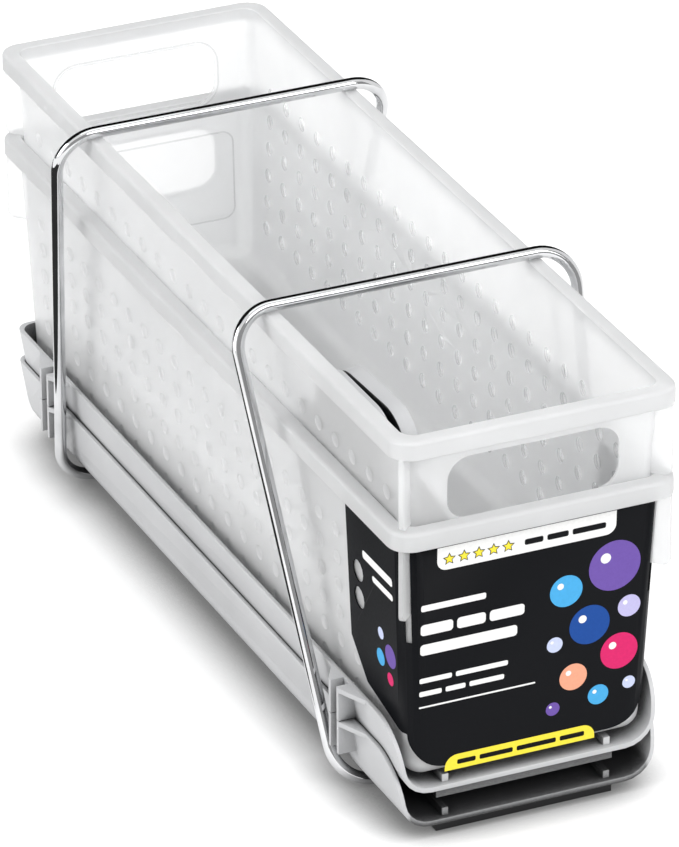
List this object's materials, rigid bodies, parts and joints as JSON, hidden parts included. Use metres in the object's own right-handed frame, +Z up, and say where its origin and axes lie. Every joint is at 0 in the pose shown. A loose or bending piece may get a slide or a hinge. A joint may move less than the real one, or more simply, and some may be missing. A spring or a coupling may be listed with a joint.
{
  "type": "under sink organizer",
  "caption": "Tiered sliding organizer, nested for storage: frosted bins in grey trays, bent wire loops over them, loose dividers and a card sleeve on the front.",
  "frame": {"origin": "on the surface it stands on, under the middle of the bins", "axes": "+Z up, -Y is the open front of the trays, +X to the right seen from the front"},
  "size_m": [0.1436, 0.384, 0.1747],
  "materials": {
    "grey_plastic": "light grey injection moulded plastic, satin",
    "frosted_plastic": "milky translucent moulded plastic, satin outside, glossy rounded wall marks",
    "chrome_wire": "bright chrome plated steel wire",
    "black_card": "black printed card, silk coated"
  },
  "bodies": {
    "trays": {"lower_tray": "grey_plastic", "upper_tray": "grey_plastic"},
    "bins": {"outer_bin": "frosted_plastic", "inner_bin": "frosted_plastic", "card_sleeve": "black_card"},
    "outer_divider": {"divider_outer": "grey_plastic"},
    "inner_divider": {"divider_inner": "grey_plastic"},
    "front_wire": {"front_loop": "chrome_wire", "front_loop_bar": "chrome_wire"},
    "rear_wire": {"rear_loop": "chrome_wire", "rear_loop_bar": "chrome_wire"}
  },
  "joints": [
    {"name": "bins_slide", "type": "slide", "parent": "trays", "child": "bins", "axis": [0, -1, 0], "range_m": [0, 0.19]},
    {"name": "outer_divider_lift", "type": "slide", "parent": "bins", "child": "outer_divider", "axis": [-0.098, 0, 0.9952], "range_m": [0, 0.11]},
    {"name": "inner_divider_lift", "type": "slide", "parent": "bins", "child": "inner_divider", "axis": [-0.098, 0, 0.9952], "range_m": [0, 0.11]},
    {"name": "front_wire_swing", "type": "hinge", "parent": "trays", "child": "front_wire", "pos_m": [0, -0.138, 0.0024], "axis": [1, 0, 0], "range_deg": [0, 4.5]},
    {"name": "rear_wire_swing", "type": "hinge", "parent": "trays", "child": "rear_wire", "pos_m": [0, 0.134, 0.0024], "axis": [-1, 0, 0], "range_deg": [0, 10.5]}
  ]
}
